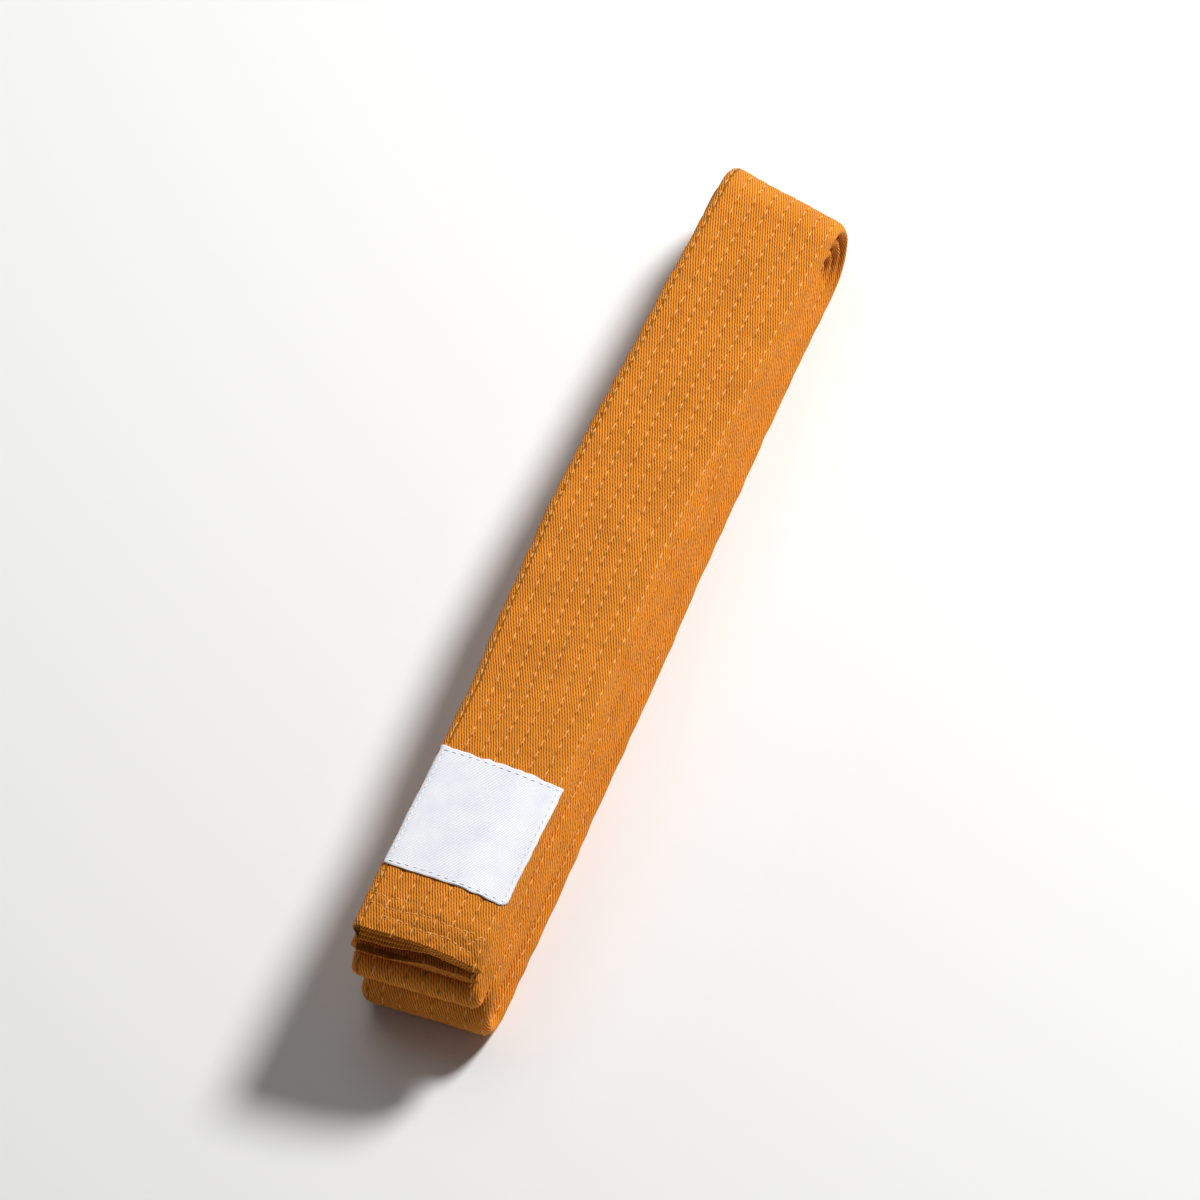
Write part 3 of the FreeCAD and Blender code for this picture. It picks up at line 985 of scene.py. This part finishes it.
# Woven polyester satin: white with a cool cast, smooth, with a slight sheen and a fine
# cross weave. The real yarns lie closer together; they are drawn coarser, so they show.
PICK_PITCH = 0.5
END_PITCH = 0.35
label_weave, tree, surface = new_material("woven_satin_label_white")
label_uv = add(tree, "ShaderNodeUVMap", {"uv_map": "cloth"}).outputs[0]
picks = add(
    tree,
    "ShaderNodeTexWave",
    {"wave_type": "BANDS", "bands_direction": "X"},
    Vector=label_uv,
    Scale=WAVE_UNIT / PICK_PITCH,
    Distortion=0.4,
)
ends = add(
    tree,
    "ShaderNodeTexWave",
    {"wave_type": "BANDS", "bands_direction": "Y"},
    Vector=label_uv,
    Scale=WAVE_UNIT / END_PITCH,
    Distortion=0.4,
)
weave = add(
    tree,
    "ShaderNodeMath",
    {"operation": "MULTIPLY_ADD"},
    _0=ends.outputs["Fac"],
    _1=0.6,
    _2=picks.outputs["Fac"],
)
cloudy = add(tree, "ShaderNodeTexNoise", {"noise_dimensions": "2D"}, Vector=label_uv, Scale=0.12, Detail=3.0)
label_mix = add(
    tree,
    "ShaderNodeMath",
    {"operation": "MULTIPLY_ADD"},
    _0=weave.outputs[0],
    _1=0.3,
    _2=cloudy.outputs["Fac"],
)
# Painted light and shade: the colour goes lighter and darker with the weave, over a random cool tone.
label_tone_and_shade = add(tree, "ShaderNodeMix", {"data_type": "RGBA"}, _0=label_mix.outputs[0])
label_tone_and_shade.inputs[6].default_value = linear("E0E6F4")
label_tone_and_shade.inputs[7].default_value = linear("FAFBFF")
tree.links.new(label_tone_and_shade.outputs[2], surface.inputs["Base Color"])
surface.inputs["Roughness"].default_value = 0.55
surface.inputs["Specular IOR Level"].default_value = 0.35
surface.inputs["Sheen Weight"].default_value = 0.15
bump = add(tree, "ShaderNodeBump", Height=weave.outputs[0], Distance=0.0001, Strength=0.7)
tree.links.new(bump.outputs[0], surface.inputs["Normal"])

# Spun polyester sewing thread, white: the same two-ply twist as the belt's own thread.
label_thread, tree, surface = new_material("sewing_thread_white")
surface.inputs["Base Color"].default_value = linear("EDF0F6")
surface.inputs["Roughness"].default_value = 0.55
place = add(tree, "ShaderNodeTexCoord").outputs["Object"]
twist = add(
    tree,
    "ShaderNodeTexWave",
    {"wave_type": "BANDS", "bands_direction": "DIAGONAL"},
    Vector=place,
    Scale=WAVE_UNIT / (TWIST * MM),
    Distortion=0.0,
)
bump = add(tree, "ShaderNodeBump", Height=twist.outputs["Fac"], Distance=0.00006, Strength=0.6)
tree.links.new(bump.outputs[0], surface.inputs["Normal"])


def label_level(along, across):
    """The label's underside: the cloth's own height, with the channels bridged over."""
    bridged = half_thickness(along) + CLOTH_NAP + 0.08 * ripple(along, across, 13, 14, 40)
    edge = np.clip((np.abs(across) - (belt_width / 2 - EDGE_ROUND)) / EDGE_ROUND, 0, 1)
    fall = thickness / 2 * (1 - np.sqrt(1 - np.minimum(edge, 0.98) ** 2))
    sink = 0.12 * np.exp(-(((np.abs(across) - label_width / 2 + 1.6) / 0.5) ** 2))
    from_near = (along - label_near) / label_length
    lifted = 0.7 * np.exp(-(((across + label_width / 2) / 1.6) ** 2) - ((from_near - 0.45) / 0.22) ** 2)
    return bridged - fall - sink + lifted + 0.04


def label_piece():
    """The label as a closed sheet: two faces over a grid, and a rim between them."""
    rows = 100
    columns = 90
    share_u = np.linspace(0, 1, rows)[:, None]
    share_v = np.linspace(-1, 1, columns)[None, :]
    corner = 2.2
    near_edge = 0.18 * ripple(share_v * 20, 0, 21, 2, 9)
    far_edge = 0.22 * ripple(share_v * 20, 0, 22, 2, 9)
    along = label_near + near_edge + share_u * (label_length - near_edge + far_edge)
    side_edge = 0.12 * ripple(share_u * 44, 0, 23, 2, 12)
    across = -share_v * (label_width / 2 + side_edge * np.abs(share_v) ** 6)
    # The corner at the near end, on the right, is worn round.
    from_corner = np.maximum(0, corner - (along - label_near)) * (share_v > 0)
    inset = corner - np.sqrt(np.maximum(corner**2 - from_corner**2, 0))
    across = across + inset * np.abs(share_v) ** 3
    under = label_level(along, across)
    points = []
    for level in (under + LABEL_THICKNESS, under):
        points.append(lay(along, across, level).reshape(-1, 3))
    uvs = np.stack([along, across + np.zeros_like(along)], -1).reshape(-1, 2)
    index = np.arange(rows * columns).reshape(rows, columns)
    top = np.stack([index[:-1, :-1], index[:-1, 1:], index[1:, 1:], index[1:, :-1]], -1).reshape(-1, 4)
    low = (top + rows * columns)[:, ::-1]
    rim = np.concatenate([index[0, :-1], index[:-1, -1], index[-1, :0:-1], index[:0:-1, 0]])
    after = np.roll(rim, -1)
    side = np.stack([rim, rim + rows * columns, after + rows * columns, after], -1)
    faces = top.tolist() + low.tolist() + side.tolist()
    item = mesh_object("label_blank", np.concatenate(points), faces, np.concatenate([uvs, uvs]))
    item.data.materials.append(label_weave)
    return item


label = label_piece()
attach(label, "end_a")
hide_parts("label")


LABEL_STITCH = 1.9
LABEL_STITCH_PITCH = 2.5
LABEL_THREAD_RADIUS = 0.19


def label_stitches():
    """One row of stitches along each of the label's four edges."""
    inset = 1.3
    half = label_width / 2 - inset
    near = label_near + inset
    far = label_near + label_length - inset
    rows = []

    def top(u, v):
        return label_level(u, v) + LABEL_THICKNESS

    for side in (1, -1):
        along = np.arange(near, far, LABEL_STITCH_PITCH)
        across = side * half + 0.15 * np.sin(along / 5)
        rows.append(stitches_at(along, across, 0.5, 0.02, top, 1, LABEL_STITCH))
    for place in (near, far):
        across = np.arange(half - 1, -half, -LABEL_STITCH_PITCH)
        along = place + 0.15 * np.sin(across / 4)
        rows.append(stitches_at(along, across, 0.02, -0.5, top, 1, LABEL_STITCH))
    return rows


label_seams = sew("label_stitches", label_stitches(), label_thread, LABEL_THREAD_RADIUS)
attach(label_seams, "end_a")
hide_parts("label_stitching")

# ---------------------------------------------------------------------------------------
# The studio: a pale floor, soft light from above and from the right, and a long lens.

floor_material, tree, surface = new_material("studio_floor_pale")
surface.inputs["Base Color"].default_value = linear("F7F7F6")
surface.inputs["Roughness"].default_value = 0.9
bpy.ops.mesh.primitive_plane_add(size=12, location=(0, 0, 0))
floor = bpy.context.object
floor.name = "floor"
floor.data.materials.append(floor_material)

world = bpy.data.worlds.new("studio")
bpy.context.scene.world = world
world.use_nodes = True
world.node_tree.nodes["Background"].inputs[0].default_value = (1, 1, 1, 1)
world.node_tree.nodes["Background"].inputs[1].default_value = 0.08


def soft_light(name, direction, distance, size, power):
    """A round area light that faces the stack from one direction."""
    data = bpy.data.lights.new(name, "AREA")
    data.shape = "DISK"
    data.size = size
    data.energy = power
    item = bpy.data.objects.new(name, data)
    toward = Vector(direction).normalized()
    item.location = toward * distance
    item.rotation_euler = toward.to_track_quat("Z", "Y").to_euler()
    bpy.context.scene.collection.objects.link(item)


soft_light("key_light", (0.85, -0.48, 0.95), 2.0, 0.5, 47)
soft_light("top_light", (0.5, 0.5, 1.6), 2.2, 1.6, 7)

CAMERA_ELEVATION = math.radians(58.8)
CAMERA_AZIMUTH = math.radians(-153.6)
CAMERA_ROLL = math.radians(-4.87)
CAMERA_DISTANCE = 4.0
LENS = 401.9
AIM = Vector((0.002, 0, 0.020))
AIM_RIGHT = -0.0028
AIM_UP = -0.0036

back = Vector(
    (
        math.cos(CAMERA_ELEVATION) * math.cos(CAMERA_AZIMUTH),
        math.cos(CAMERA_ELEVATION) * math.sin(CAMERA_AZIMUTH),
        math.sin(CAMERA_ELEVATION),
    )
)
level_right = Vector((0, 0, 1)).cross(back).normalized()
level_up = back.cross(level_right)
right = level_right * math.cos(CAMERA_ROLL) + level_up * math.sin(CAMERA_ROLL)
up = level_up * math.cos(CAMERA_ROLL) - level_right * math.sin(CAMERA_ROLL)
camera_data = bpy.data.cameras.new("camera")
camera_data.lens = LENS
camera_data.sensor_width = 36
camera_data.clip_end = 50
camera = bpy.data.objects.new("camera", camera_data)
bpy.context.scene.collection.objects.link(camera)
spot = AIM + right * AIM_RIGHT + up * AIM_UP + back * CAMERA_DISTANCE
camera.matrix_world = Matrix(
    (
        (right.x, up.x, back.x, spot.x),
        (right.y, up.y, back.y, spot.y),
        (right.z, up.z, back.z, spot.z),
        (0, 0, 0, 1),
    )
)
bpy.context.scene.camera = camera
bpy.context.scene.view_settings.view_transform = "Standard"
